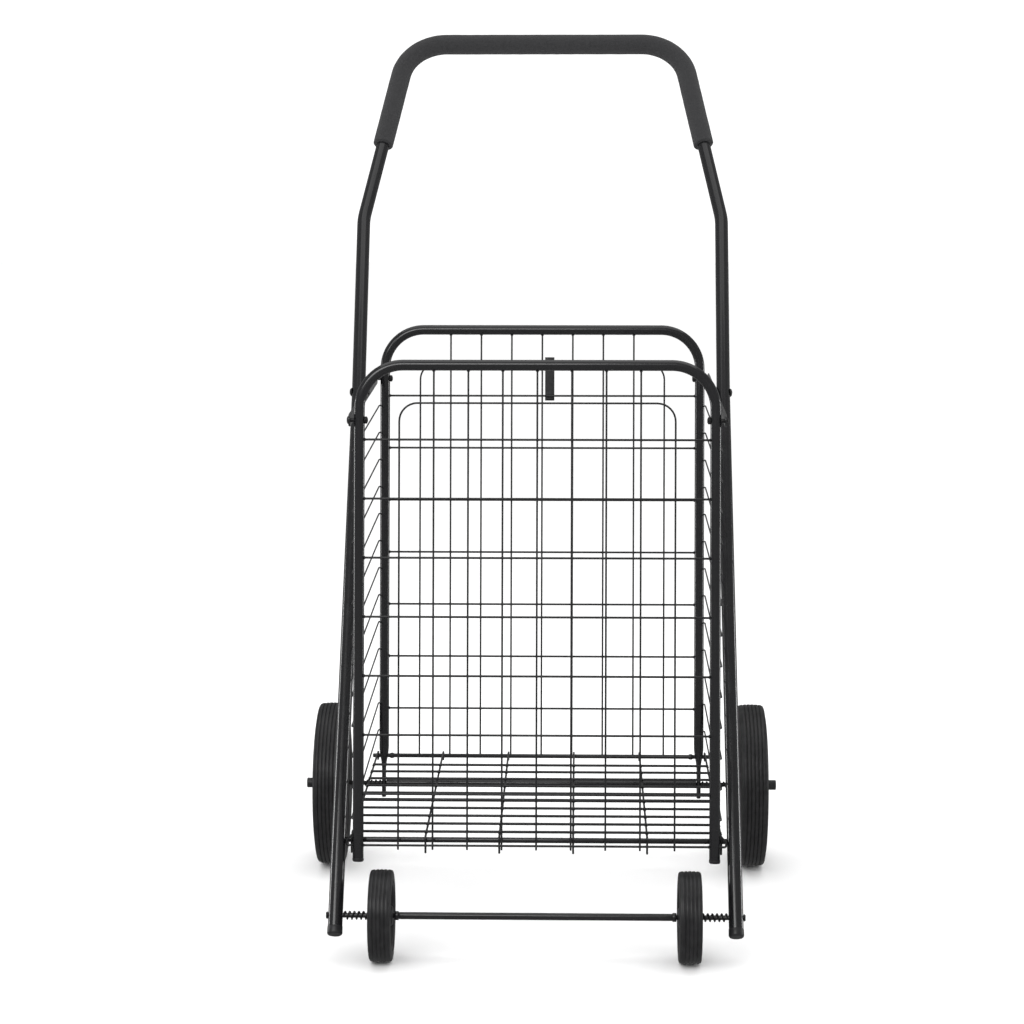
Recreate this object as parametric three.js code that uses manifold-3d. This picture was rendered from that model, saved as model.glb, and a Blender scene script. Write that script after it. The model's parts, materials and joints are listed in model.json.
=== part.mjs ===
// A folding shopping trolley: two wire basket panels in bent tube frames, held apart by two folding links
// and thirteen pairs of side wires, with a hinged wire tray, a slanting handle frame and four wheels.
// Millimetres and degrees. X is across, Y runs from the front wheels back to the rear ones, Z is up.
import * as THREE from "three";
import { mergeVertices } from "three/addons/utils/BufferGeometryUtils.js";
import Module from "manifold-3d";

const wasm = await Module();
wasm.setup();

// Driving dimensions.
const FRONT_WHEEL_RADIUS = 50;
const REAR_WHEEL_RADIUS = 100;
const WHEELBASE = 435;
const BASKET_LEAN = 6.8; // both basket frames lean back from upright
const HANDLE_LEAN = 32.85; // the handle frame leans back from upright
const LINK_SLOPE = 2.7; // links and side wires slope down to the front
const LINK_LENGTH = 398.5; // between the rear and the front pivots
const GAP = 0.3; // between pieces that touch
const BOLT = 2.5; // radius of the pivot bolts
const NUT = 4.2;
const BOLT_HEAD = 4.6;
const HOLE_GAP = 0.7; // around a rod or an axle in its hole
const BOLT_HOLE = BOLT + 0.9;
const WALL = 1; // of the bent tubes

// Basket frames and panels: heights are along the frame, from the rear axle's level.
const FRAME_HALF_WIDTH = 196; // to the tube's centre
const FRAME_TUBE = 6.2;
const FRAME_TOP = 565.6;
const FRAME_CORNER = 48;
const LINK_PIVOT = 505;
const FRONT_FRAME_FOOT = 19;
const REAR_FRAME_FOOT = -17;
const FLAT_TOP = 18; // the rear frame's ends are pressed flat up to here
const TAPER_TOP = 44;
const WIRE = 1.1;
const PANEL_PITCH = 38;
const PANEL_RUNGS = 7;
const RUNG_PITCH = 65;
const TOP_RUNG = FRAME_TOP - 82;
const PANEL_FOOT = 37.2; // the front panel's lowest wire
const REAR_ROD_HEIGHT = 34.4;
const UPRIGHT_FOOT = 32.2;
const ARCH_HALF_WIDTH = 4 * PANEL_PITCH;
const ARCH_TOP = FRAME_TOP - 41.7;
const ARCH_CORNER = 20;
const CROSSING = 1.9; // between the centre lines of crossing wires, which are welded together
const WIRE_HOLE = WIRE + 1;

// Side wires, links and tray.
const SIDE_ROWS = 13;
const SIDE_PITCH = 33.75;
const SIDE_WIRE_X = 203.3;
const LINK_X = 206.9;
const LINK_WIDTH = 14;
const LINK_THICKNESS = 1.8;
const REAR_ROD = 2.5;
const FRONT_ROD = 3;
const FRONT_ROD_HEIGHT = 122;
const TRAY_SPACING = 81.4;
const TRAY_WIRES = 10;
const TRAY_PITCH = 33.8;
const TRAY_FIRST = 74;
const TRAY_WIRE = 1.5; // radius of the cross wires
const TRAY_THICK_WIRE = 5; // this cross wire is thicker and a little longer
const THICK_WIRE = 2;
const THICK_WIRE_END = 208.4;
const TRAY_HOOK_DROP = 14;

// Handle frame: heights are along the leg, from the front axle.
const LEG_X = 217.65;
const LEG_TUBE = 8.2;
const LEG_FOOT = -20;
const LEG_WALL = 1.2;
const LEG_BEND = 892;
const LEG_BEND_X = 220.6; // the legs spread a little from the link bolts up to their bend
const LEG_BEND_RADIUS = 90;
const HANDLE_TOP = 1154;
const HANDLE_TOP_X = 172.8; // where the leaning tubes would meet the top bar
const HANDLE_CORNER = 58;
const GRIP_FOOT = 1001;
const GRIP_RADIUS = 12.9;

// Wheels and axles.
const AXLE = 2.6;
const AXLE_HOLE = AXLE + 0.4; // in the wheels and the sleeve
const SHOULDER = 2; // the treads round off by this much at their edges
const FRONT_WHEEL_INNER = 155;
const FRONT_WHEEL_OUTER = 180;
const REAR_WHEEL_INNER = 243;
const REAR_WHEEL_OUTER = 277;
const REAR_RIM = 80;
const AXLE_CAP_END = 292;

const SIDES = { left: -1, right: 1 };
const radians = THREE.MathUtils.degToRad;
const v2 = (x, y) => new THREE.Vector2(x, y);
const v3 = (x, y, z) => new THREE.Vector3(x, y, z);

function finish(color, roughness, metalness) {
  return new THREE.MeshStandardMaterial({ color, roughness, metalness });
}

const paint = finish(0x0c0c0d, 0.22, 0.3);
const wirePaint = finish(0x101011, 0.3, 0.3);
const foam = finish(0x38383a, 0.95, 0);
const rubber = finish(0x17181a, 0.75, 0);
const plastic = finish(0x1c1d1f, 0.5, 0);
const steel = finish(0x2a2b2d, 0.35, 0.8);

// Turns any closed geometry into a solid that can be cut and joined.
function toSolid(geometry) {
  const bare = new THREE.BufferGeometry();
  bare.setAttribute("position", geometry.getAttribute("position"));
  bare.setIndex(geometry.getIndex());
  const merged = mergeVertices(bare, 1e-3);
  return new wasm.Manifold(
    new wasm.Mesh({
      numProp: 3,
      vertProperties: merged.attributes.position.array,
      triVerts: new Uint32Array(merged.index.array),
    }),
  );
}

function toGeometry(solid) {
  const mesh = solid.getMesh();
  const geometry = new THREE.BufferGeometry();
  geometry.setAttribute("position", new THREE.BufferAttribute(mesh.vertProperties, 3));
  geometry.setIndex(new THREE.BufferAttribute(mesh.triVerts, 1));
  geometry.computeVertexNormals();
  return geometry;
}

function join(geometries) {
  return geometries.map(toSolid).reduce((whole, piece) => whole.add(piece));
}

function cut(solid, drills) {
  return drills.map(toSolid).reduce((rest, drill) => rest.subtract(drill), solid);
}

function place(group, name, shape, material) {
  const geometry = shape.isBufferGeometry ? shape : toGeometry(shape);
  const mesh = new THREE.Mesh(geometry, material);
  mesh.name = name;
  group.add(mesh);
}

// A centre line of straight runs joined by round bends; a bend of radius 0 is a point on the way. It hands
// out only the points where the section has to turn, so a straight run is one step long.
class Route extends THREE.Curve {
  constructor(corners, radius, stepsPerBend) {
    super();
    this.knots = [];
    const last = corners.length - 1;
    this.add(corners[0], direction(corners[0], corners[1]));
    for (let i = 1; i < last; i += 1) {
      const bend = Array.isArray(radius) ? radius[i - 1] : radius;
      if (bend === 0) this.add(corners[i], direction(corners[i - 1], corners[i + 1]));
      else this.turn(corners[i - 1], corners[i], corners[i + 1], bend, stepsPerBend);
    }
    this.add(corners[last], direction(corners[last - 1], corners[last]));
  }

  add(point, tangent) {
    this.knots.push({ point, tangent });
  }

  turn(before, corner, after, radius, steps) {
    const incoming = direction(before, corner);
    const outgoing = direction(corner, after);
    const angle = incoming.angleTo(outgoing);
    const inward = outgoing.clone().sub(incoming).normalize();
    const centre = corner.clone().addScaledVector(inward, radius / Math.cos(angle / 2));
    const axis = incoming.clone().cross(outgoing).normalize();
    const start = corner.clone().addScaledVector(incoming, -radius * Math.tan(angle / 2));
    const spoke = start.sub(centre);
    for (let i = 0; i <= steps; i += 1) {
      const turned = (angle * i) / steps;
      this.add(
        spoke.clone().applyAxisAngle(axis, turned).add(centre),
        incoming.clone().applyAxisAngle(axis, turned),
      );
    }
  }

  get steps() {
    return this.knots.length - 1;
  }

  getPointAt(u) {
    return this.knots[Math.round(u * this.steps)].point.clone();
  }

  getTangentAt(u) {
    return this.knots[Math.round(u * this.steps)].tangent.clone();
  }
}

function direction(from, to) {
  return to.clone().sub(from).normalize();
}

function polygon(radius, sides) {
  const corners = [];
  for (let i = 0; i < sides; i += 1) {
    const angle = ((i + 0.5) / sides) * 2 * Math.PI;
    corners.push(v2(radius * Math.cos(angle), radius * Math.sin(angle)));
  }
  return corners;
}

// A round bar along a route, or a tube when it has a bore.
function bar(route, radius, sides, bore = 0) {
  const section = new THREE.Shape(polygon(radius, sides));
  if (bore > 0) section.holes.push(new THREE.Path(polygon(bore, sides)));
  return new THREE.ExtrudeGeometry(section, {
    steps: route.steps,
    extrudePath: route,
    bevelEnabled: false,
  });
}

function wire(corners, radius, bend, stepsPerBend = 2) {
  return bar(new Route(corners, bend, stepsPerBend), radius * Math.SQRT2, 4);
}

// A straight square wire between two points that differ along one axis only.
function straight(from, to, radius) {
  const size = to.clone().sub(from);
  const thick = 2 * radius;
  const geometry = new THREE.BoxGeometry(
    Math.abs(size.x) || thick,
    Math.abs(size.y) || thick,
    Math.abs(size.z) || thick,
  );
  const middle = from.clone().add(to).multiplyScalar(0.5);
  return geometry.translate(middle.x, middle.y, middle.z);
}

// A turned piece about the X axis: its outline is a list of [x, radius], closed or ending on the axis.
function turned(outline, sides) {
  const profile = outline.map(([x, radius]) => v2(radius, x));
  return new THREE.LatheGeometry(profile, sides).rotateZ(-Math.PI / 2);
}

function ring(outline, sides) {
  return turned([...outline, outline[0]], sides);
}

function mirrored(outline, side) {
  return side > 0 ? outline : outline.map(([x, radius]) => [-x, radius]).reverse();
}

function drill(radius, from, to, y, z, sides = 6) {
  const geometry = new THREE.CylinderGeometry(radius, radius, Math.abs(to - from), sides);
  return geometry.rotateZ(Math.PI / 2).translate((from + to) / 2, y, z);
}

// Stands a flat outline up: its X and Y become Y and Z, and its thickness runs along X.
function stand(geometry) {
  return geometry.rotateX(Math.PI / 2).rotateZ(Math.PI / 2);
}

// A coil of square wire about the X axis, between two places on it.
function spring(from, to, radius, wireRadius, turns) {
  const STEPS_PER_TURN = 6;
  const steps = Math.round(turns * STEPS_PER_TURN);
  const coil = new THREE.Curve();
  coil.getPoint = (t) => {
    const angle = t * turns * 2 * Math.PI;
    return v3(from + (to - from) * t, radius * Math.cos(angle), radius * Math.sin(angle));
  };
  const section = new THREE.Shape(polygon(wireRadius * Math.SQRT2, 4));
  return new THREE.ExtrudeGeometry(section, { steps, extrudePath: coil, bevelEnabled: false });
}

// ---- Frames of reference ----
const trolley = new THREE.Group();

function tilted(y, z, degrees) {
  const group = new THREE.Group();
  group.position.set(0, y, z);
  group.rotation.x = radians(degrees);
  trolley.add(group);
  group.updateMatrixWorld();
  return group;
}

const linkFall = LINK_LENGTH * Math.sin(radians(LINK_SLOPE));
const linkReach = LINK_LENGTH * Math.cos(radians(LINK_SLOPE));
const rear = tilted(WHEELBASE, REAR_WHEEL_RADIUS, -BASKET_LEAN);
const front = tilted(WHEELBASE - linkReach, REAR_WHEEL_RADIUS - linkFall, -BASKET_LEAN);
const handle = tilted(0, FRONT_WHEEL_RADIUS, -HANDLE_LEAN);

// Where the handle frame's legs cross the links, along the leg from the axle.
const linkPivot = rear.localToWorld(v3(0, 0, LINK_PIVOT));
const alongLink = v3(0, Math.cos(radians(LINK_SLOPE)), Math.sin(radians(LINK_SLOPE)));
const alongLeg = v3(0, Math.sin(radians(HANDLE_LEAN)), Math.cos(radians(HANDLE_LEAN)));
const toLinkPivot = linkPivot.clone().sub(handle.position);
const legPivot = toLinkPivot.cross(alongLink).x / alongLeg.clone().cross(alongLink).x;
const legPivotPoint = handle.localToWorld(v3(0, 0, legPivot));
const linkMiddle = linkPivot.distanceTo(legPivotPoint);

// The front rod rests against the back of the front frame's legs.
const rodClearance = FRAME_TUBE + FRONT_ROD + GAP;
const frameAtRod = WHEELBASE - linkReach
  + (FRONT_ROD_HEIGHT - front.position.z) * Math.tan(radians(BASKET_LEAN));
const frontRodPoint = v3(0, frameAtRod + rodClearance / Math.cos(radians(BASKET_LEAN)), FRONT_ROD_HEIGHT);
const rearRodPoint = rear.localToWorld(v3(0, 0, REAR_ROD_HEIGHT));

// ---- Basket frames ----
function basketTube(foot) {
  const corners = [
    v3(-FRAME_HALF_WIDTH, 0, foot),
    v3(-FRAME_HALF_WIDTH, 0, FRAME_TOP),
    v3(FRAME_HALF_WIDTH, 0, FRAME_TOP),
    v3(FRAME_HALF_WIDTH, 0, foot),
  ];
  return bar(new Route(corners, FRAME_CORNER, 5), FRAME_TUBE, 8, FRAME_TUBE - WALL);
}

function sideWireHeight(row) {
  return LINK_PIVOT - SIDE_PITCH * row;
}

// Holes for the side wires in the outer wall, and for the link bolt through the whole tube.
function frameDrills() {
  const drills = [];
  const outside = FRAME_HALF_WIDTH + FRAME_TUBE + 2;
  const inside = FRAME_HALF_WIDTH - FRAME_TUBE - 2;
  for (const side of Object.values(SIDES)) {
    drills.push(drill(BOLT_HOLE, side * inside, side * outside, 0, LINK_PIVOT));
    for (let row = 1; row <= SIDE_ROWS; row += 1) {
      const height = sideWireHeight(row);
      drills.push(drill(WIRE_HOLE, side * FRAME_HALF_WIDTH, side * outside, 0, height, 4));
    }
  }
  return drills;
}

// Presses the tube's ends flat across X, widening them along Y.
function flattenEnds(geometry) {
  const THINNER = 0.42;
  const WIDER = 1.3;
  const position = geometry.getAttribute("position");
  for (let i = 0; i < position.count; i += 1) {
    const height = position.getZ(i);
    if (height < TAPER_TOP - 1) {
      const centre = Math.sign(position.getX(i)) * FRAME_HALF_WIDTH;
      position.setX(i, centre + (position.getX(i) - centre) * THINNER);
      position.setY(i, position.getY(i) * WIDER);
    }
  }
  return geometry;
}

function rearTube() {
  const heights = [REAR_FRAME_FOOT, FLAT_TOP, TAPER_TOP, FRAME_TOP];
  const up = heights.map((z) => v3(-FRAME_HALF_WIDTH, 0, z));
  const down = heights.map((z) => v3(FRAME_HALF_WIDTH, 0, z)).reverse();
  const route = new Route([...up, ...down], [0, 0, FRAME_CORNER, FRAME_CORNER, 0, 0], 5);
  return flattenEnds(bar(route, FRAME_TUBE, 8, FRAME_TUBE - WALL));
}

function rearFrame() {
  const reach = FRAME_HALF_WIDTH + FRAME_TUBE + 2;
  const drills = frameDrills();
  drills.push(drill(AXLE + HOLE_GAP, -reach, reach, 0, 0, 8));
  drills.push(drill(REAR_ROD + HOLE_GAP, -reach, reach, 0, REAR_ROD_HEIGHT, 8));
  return cut(toSolid(rearTube()), drills);
}

// A welded wire panel: an arch and seven uprights, with rungs on its outer side.
function panel(rungSide, withFoot) {
  const barBottom = FRAME_TOP - FRAME_TUBE - GAP;
  const legInside = FRAME_HALF_WIDTH - FRAME_TUBE - GAP;
  const rungY = rungSide * CROSSING;
  const arch = [
    v3(-ARCH_HALF_WIDTH, 0, UPRIGHT_FOOT),
    v3(-ARCH_HALF_WIDTH, 0, ARCH_TOP),
    v3(ARCH_HALF_WIDTH, 0, ARCH_TOP),
    v3(ARCH_HALF_WIDTH, 0, UPRIGHT_FOOT),
  ];
  const pieces = [wire(arch, WIRE, ARCH_CORNER, 3)];
  for (let i = -3; i <= 3; i += 1) {
    const x = i * PANEL_PITCH;
    pieces.push(straight(v3(x, 0, UPRIGHT_FOOT), v3(x, 0, barBottom), WIRE));
  }
  for (let i = 0; i < PANEL_RUNGS; i += 1) {
    const z = TOP_RUNG - i * RUNG_PITCH;
    pieces.push(straight(v3(-legInside, rungY, z), v3(legInside, rungY, z), WIRE));
  }
  if (withFoot) {
    pieces.push(straight(v3(-legInside, rungY, PANEL_FOOT), v3(legInside, rungY, PANEL_FOOT), WIRE));
  }
  return pieces;
}

// The rear panel's lowest cross piece is a thick rod that passes through the frame and carries the tray.
function rearRod() {
  const END = 210;
  const CRIMP = 186;
  const outline = [
    [-END, 0],
    [-END, REAR_ROD],
    [-CRIMP - 2, REAR_ROD],
    [-CRIMP, REAR_ROD + 1],
    [-CRIMP + 2, REAR_ROD],
    [CRIMP - 2, REAR_ROD],
    [CRIMP, REAR_ROD + 1],
    [CRIMP + 2, REAR_ROD],
    [END, REAR_ROD],
    [END, 0],
  ];
  return turned(outline, 8).translate(0, 0, REAR_ROD_HEIGHT);
}

// A bolt through a frame leg and a link, with a round head outside and a nut inside.
function linkBolt(side) {
  const inner = FRAME_HALF_WIDTH - FRAME_TUBE - GAP;
  const outer = LINK_X + LINK_THICKNESS / 2 + GAP;
  const nutEnd = inner - 2.4;
  const outline = [
    [nutEnd, 0],
    [nutEnd, NUT],
    [inner, NUT],
    [inner, BOLT],
    [outer, BOLT],
    [outer, BOLT_HEAD],
    [outer + 1, BOLT_HEAD - 0.4],
    [outer + 2, 0],
  ];
  return turned(mirrored(outline, side), 8).translate(0, 0, LINK_PIVOT);
}

place(front, "front_frame", cut(toSolid(basketTube(FRONT_FRAME_FOOT)), frameDrills()), paint);
place(front, "front_grid", join(panel(-1, true)), wirePaint);
place(rear, "rear_frame", rearFrame(), paint);
place(rear, "rear_grid", join([...panel(1, false), rearRod()]), wirePaint);
for (const [sideName, side] of Object.entries(SIDES)) {
  place(front, `front_bolt_${sideName}`, linkBolt(side), steel);
  place(rear, `rear_bolt_${sideName}`, linkBolt(side), steel);
}

// ---- Links and side wires ----
function link(side) {
  const outline = new THREE.Shape();
  const end = LINK_WIDTH / 2;
  outline.absarc(0, 0, end, -Math.PI / 2, Math.PI / 2, false);
  outline.absarc(-LINK_LENGTH, 0, end, Math.PI / 2, 1.5 * Math.PI, false);
  for (const along of [0, linkMiddle, LINK_LENGTH]) {
    const hole = new THREE.Path();
    hole.absarc(-along, 0, BOLT_HOLE, 0, 2 * Math.PI, true);
    outline.holes.push(hole);
  }
  const strip = new THREE.ExtrudeGeometry(outline, {
    depth: LINK_THICKNESS,
    curveSegments: 6,
    bevelEnabled: false,
  });
  return stand(strip).translate(side * LINK_X - LINK_THICKNESS / 2, 0, 0);
}

function sideWire(side) {
  const BEND = 2;
  const corners = [
    v3(side * FRAME_HALF_WIDTH, 0, 0),
    v3(side * SIDE_WIRE_X, 0, 0),
    v3(side * SIDE_WIRE_X, -LINK_LENGTH, 0),
    v3(side * FRAME_HALF_WIDTH, -LINK_LENGTH, 0),
  ];
  return bar(new Route(corners, BEND, 2), WIRE, 4);
}

function rowGroup(height) {
  const pivot = rear.localToWorld(v3(0, 0, height));
  return tilted(pivot.y, pivot.z, LINK_SLOPE);
}

const linkGroup = rowGroup(LINK_PIVOT);
for (const [sideName, side] of Object.entries(SIDES)) {
  place(linkGroup, `link_${sideName}`, link(side), paint);
}
for (let row = 1; row <= SIDE_ROWS; row += 1) {
  const group = rowGroup(sideWireHeight(row));
  const number = String(row).padStart(2, "0");
  for (const [sideName, side] of Object.entries(SIDES)) {
    place(group, `side_wire_${number}_${sideName}`, sideWire(side), wirePaint);
  }
}

// ---- Tray ----
const trayReach = rearRodPoint.distanceTo(frontRodPoint);
const traySlope = Math.atan2(rearRodPoint.z - frontRodPoint.z, rearRodPoint.y - frontRodPoint.y);
const tray = tilted(rearRodPoint.y, rearRodPoint.z, THREE.MathUtils.radToDeg(traySlope));

// A long wire that curls round the rear rod, crosses the front rod and hooks down in front of it.
function longWire(x) {
  const BEND = 3;
  const eye = REAR_ROD + WIRE + 0.5;
  const over = FRONT_ROD + WIRE + GAP;
  const corners = [
    v3(x, -eye, -eye),
    v3(x, eye, -eye),
    v3(x, eye, over),
    v3(x, -trayReach - over, over),
    v3(x, -trayReach - over, -TRAY_HOOK_DROP),
  ];
  return wire(corners, WIRE, BEND);
}

function trayPieces() {
  const SUNK = 0.3; // the cross wires are welded into the long ones
  const level = FRONT_ROD + GAP + 2 * WIRE - SUNK;
  const pieces = [];
  for (let i = -2; i <= 3; i += 1) {
    pieces.push(longWire((i - 0.5) * TRAY_SPACING));
  }
  for (let i = 0; i < TRAY_WIRES; i += 1) {
    const y = -(TRAY_FIRST + i * TRAY_PITCH);
    const thick = i === TRAY_THICK_WIRE;
    const radius = thick ? THICK_WIRE : TRAY_WIRE;
    const end = thick ? THICK_WIRE_END : 2.5 * TRAY_SPACING + WIRE;
    pieces.push(straight(v3(-end, y, level + radius), v3(end, y, level + radius), radius));
  }
  return pieces;
}

place(tray, "tray", join(trayPieces()), wirePaint);

// ---- Latch: a strip that hangs from the rear panel's arch by a curl and clips over the first rung ----
function latch() {
  const ARCH_EYE = 1.9;
  const WIDTH = 11.6;
  const THICKNESS = 1.2;
  const EYE_END = -1;
  const RISE = 4.8; // the eye is long, so the strip stands above the arch
  const STRIP_TOP = -9;
  const CLIP = 1; // the strip's foot turns in under the rung
  const BELOW_RUNG = 4;
  const foot = TOP_RUNG - ARCH_TOP - BELOW_RUNG;
  const strip = new THREE.Shape();
  const back = CROSSING + WIRE + GAP;
  strip.moveTo(-ARCH_EYE - THICKNESS, EYE_END);
  strip.absarc(0, RISE, ARCH_EYE + THICKNESS, Math.PI, 0, true);
  strip.lineTo(back + THICKNESS, STRIP_TOP);
  strip.lineTo(back + THICKNESS, foot - CLIP);
  strip.lineTo(back - CLIP, foot - CLIP);
  strip.lineTo(back, foot);
  strip.lineTo(back, STRIP_TOP);
  strip.absarc(0, RISE, ARCH_EYE, 0, Math.PI, false);
  strip.lineTo(-ARCH_EYE, EYE_END);
  const solid = new THREE.ExtrudeGeometry(strip, {
    depth: WIDTH,
    curveSegments: 5,
    bevelEnabled: false,
  });
  return stand(solid);
}

const LATCH_X = 3.5;
const latchGroup = new THREE.Group();
latchGroup.position.set(LATCH_X, 0, ARCH_TOP);
rear.add(latchGroup);
place(latchGroup, "latch", latch(), plastic);

// ---- Handle frame ----
// From a foot height over the top bar and down again; a foot above the bend leaves the legs out.
function handleCorners(foot) {
  const lean = (LEG_BEND_X - HANDLE_TOP_X) / (HANDLE_TOP - LEG_BEND);
  const leg = [v3(-LEG_X, 0, foot), v3(-LEG_X, 0, legPivot), v3(-LEG_BEND_X, 0, LEG_BEND)];
  const aboveBend = [v3((foot - LEG_BEND) * lean - LEG_BEND_X, 0, foot)];
  const left = foot < LEG_BEND ? leg : aboveBend;
  const right = left.map((point) => v3(-point.x, 0, point.z)).reverse();
  return [...left, v3(-HANDLE_TOP_X, 0, HANDLE_TOP), v3(HANDLE_TOP_X, 0, HANDLE_TOP), ...right];
}

function handleFrame() {
  const bends = [0, LEG_BEND_RADIUS, HANDLE_CORNER, HANDLE_CORNER, LEG_BEND_RADIUS, 0];
  const tube = bar(new Route(handleCorners(LEG_FOOT), bends, 4), LEG_TUBE, 8, LEG_TUBE - LEG_WALL);
  const inside = LEG_X - LEG_TUBE - 2;
  const outside = LEG_X + LEG_TUBE + 2;
  const rod = handle.worldToLocal(frontRodPoint.clone());
  const drills = [];
  for (const side of Object.values(SIDES)) {
    drills.push(drill(AXLE + HOLE_GAP, side * inside, side * outside, 0, 0, 8));
    drills.push(drill(BOLT_HOLE, side * inside, side * outside, 0, legPivot, 8));
    drills.push(drill(FRONT_ROD + HOLE_GAP, side * inside, side * LEG_X, rod.y, rod.z, 8));
  }
  return cut(toSolid(tube), drills);
}

function grip() {
  const route = new Route(handleCorners(GRIP_FOOT), HANDLE_CORNER, 4);
  return bar(route, GRIP_RADIUS, 8, LEG_TUBE + 0.8);
}

function frontRod() {
  const end = LEG_X - LEG_TUBE + 3;
  const rod = handle.worldToLocal(frontRodPoint.clone());
  return turned([[-end, 0], [-end, FRONT_ROD], [end, FRONT_ROD], [end, 0]], 8).translate(0, rod.y, rod.z);
}

// The bolt through a leg and its link: a round head outside and a flat one inside the link.
function legBolt(side) {
  const inner = LINK_X - LINK_THICKNESS / 2 - GAP;
  const outer = LEG_X + LEG_TUBE + GAP;
  const outline = [
    [inner - 1, 0],
    [inner - 1, NUT],
    [inner, NUT],
    [inner, BOLT],
    [outer, BOLT],
    [outer, BOLT_HEAD],
    [outer + 1.6, BOLT_HEAD - 0.6],
    [outer + 2.4, 0],
  ];
  return turned(mirrored(outline, side), 8).translate(0, 0, legPivot);
}

function legCap(side) {
  const FLANGE = 2;
  const DEPTH = 12;
  const skirt = LEG_TUBE - LEG_WALL - HOLE_GAP;
  const outline = [
    [0, 0],
    [0, LEG_TUBE],
    [FLANGE, LEG_TUBE],
    [FLANGE, skirt],
    [DEPTH, skirt],
    [DEPTH, 0],
  ];
  const cap = turned(outline, 8).rotateY(-Math.PI / 2).rotateZ(Math.PI / 8);
  return cap.translate(side * LEG_X, 0, LEG_FOOT - FLANGE - GAP);
}

place(handle, "handle_frame", handleFrame(), paint);
place(handle, "handle_grip", grip(), foam);
place(handle, "front_rod", frontRod(), steel);
for (const [sideName, side] of Object.entries(SIDES)) {
  place(handle, `leg_bolt_${sideName}`, legBolt(side), steel);
  place(handle, `leg_cap_${sideName}`, legCap(side), plastic);
}

// ---- Front axle, springs and wheels ----
const frontAxle = new THREE.Group();
frontAxle.position.copy(handle.position);
const rearAxle = new THREE.Group();
rearAxle.position.copy(rear.position);
trolley.add(frontAxle, rearAxle);

function frontAxleShape() {
  const COLLAR = 4.8;
  const HEAD = 4.2;
  const collarEnd = FRONT_WHEEL_INNER - 1.5;
  const end = LEG_X + LEG_TUBE + GAP;
  const half = [
    [collarEnd - 6, AXLE + 1.4],
    [collarEnd - 2, COLLAR],
    [collarEnd, COLLAR],
    [collarEnd, AXLE],
    [end, AXLE],
    [end, HEAD],
    [end + 2, HEAD - 0.8],
    [end + 2, 0],
  ];
  return turned([...mirrored(half, -1), ...half], 8);
}

// A wheel in one piece: tread, hollow faces and a boss round the axle.
function frontWheel(side) {
  const BOSS = 11;
  const RIM = 37;
  const HOLLOW = 7; // how far the faces sink between boss and rim
  const TREAD_EDGE = 4;
  const inner = FRONT_WHEEL_INNER;
  const outer = FRONT_WHEEL_OUTER;
  const outline = [
    [inner, AXLE_HOLE],
    [inner, BOSS],
    [inner + HOLLOW, BOSS + 3],
    [inner + HOLLOW, RIM - 4],
    [inner, RIM],
    [inner + 1, FRONT_WHEEL_RADIUS - SHOULDER],
    [inner + TREAD_EDGE, FRONT_WHEEL_RADIUS],
    [outer - TREAD_EDGE, FRONT_WHEEL_RADIUS],
    [outer - 1, FRONT_WHEEL_RADIUS - SHOULDER],
    [outer, RIM],
    [outer - HOLLOW, RIM - 4],
    [outer - HOLLOW, BOSS + 3],
    [outer, BOSS],
    [outer, AXLE_HOLE],
  ];
  return ring(mirrored(outline, side), 20);
}

function rearTyre(side) {
  const TREAD_EDGE = 6;
  const BULGE = REAR_RIM + 7; // the sidewall is widest here
  const inner = REAR_WHEEL_INNER;
  const outer = REAR_WHEEL_OUTER;
  const seat = REAR_RIM + GAP;
  const outline = [
    [inner + 3, seat],
    [inner, BULGE],
    [inner + 1.5, REAR_WHEEL_RADIUS - SHOULDER],
    [inner + TREAD_EDGE, REAR_WHEEL_RADIUS],
    [outer - TREAD_EDGE, REAR_WHEEL_RADIUS],
    [outer - 1.5, REAR_WHEEL_RADIUS - SHOULDER],
    [outer, BULGE],
    [outer - 3, seat],
  ];
  return ring(mirrored(outline, side), 28);
}

// The rear hub: a rim and a boss joined by a web with six windows.
function rearHub(side) {
  const inner = REAR_WHEEL_INNER;
  const outer = REAR_WHEEL_OUTER;
  const middle = (inner + outer) / 2;
  const WEB = 3; // half its thickness
  const BOSS = 15;
  const RIM_INSIDE = REAR_RIM - 6;
  const RIM_EDGE = 5; // the rim is narrower than the tyre by this much on each side
  const SEGMENTS = 28;
  const rim = [
    [inner + RIM_EDGE, RIM_INSIDE],
    [inner + RIM_EDGE, REAR_RIM],
    [outer - RIM_EDGE, REAR_RIM],
    [outer - RIM_EDGE, RIM_INSIDE],
  ];
  const boss = [
    [inner + 1, AXLE_HOLE],
    [inner + 1, BOSS],
    [outer - 1, BOSS],
    [outer - 1, AXLE_HOLE],
  ];
  const web = new THREE.Shape(polygon(REAR_RIM - 4, SEGMENTS));
  web.holes.push(new THREE.Path(polygon(BOSS - 3, 12)));
  for (let i = 0; i < 6; i += 1) {
    web.holes.push(hubWindow((i * Math.PI) / 3, BOSS + 7, REAR_RIM - 12));
  }
  const plate = new THREE.ExtrudeGeometry(web, { depth: 2 * WEB, bevelEnabled: false });
  plate.translate(0, 0, -WEB).rotateY(Math.PI / 2).translate(side * middle, 0, 0);
  return join([ring(mirrored(rim, side), SEGMENTS), ring(mirrored(boss, side), 12), plate]);
}

// One window of the web, between two spokes: a piece of a ring.
function hubWindow(middleAngle, low, high) {
  const SPOKE = 11;
  const halfLow = Math.PI / 6 - Math.asin(SPOKE / 2 / low);
  const halfHigh = Math.PI / 6 - Math.asin(SPOKE / 2 / high);
  const at = (radius, angle) => v2(radius * Math.cos(angle), radius * Math.sin(angle));
  const corners = [at(low, middleAngle - halfLow), at(low, middleAngle + halfLow)];
  for (let i = 4; i >= 0; i -= 1) {
    corners.push(at(high, middleAngle + halfHigh * (i / 2 - 1)));
  }
  return new THREE.Path(corners);
}

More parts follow.
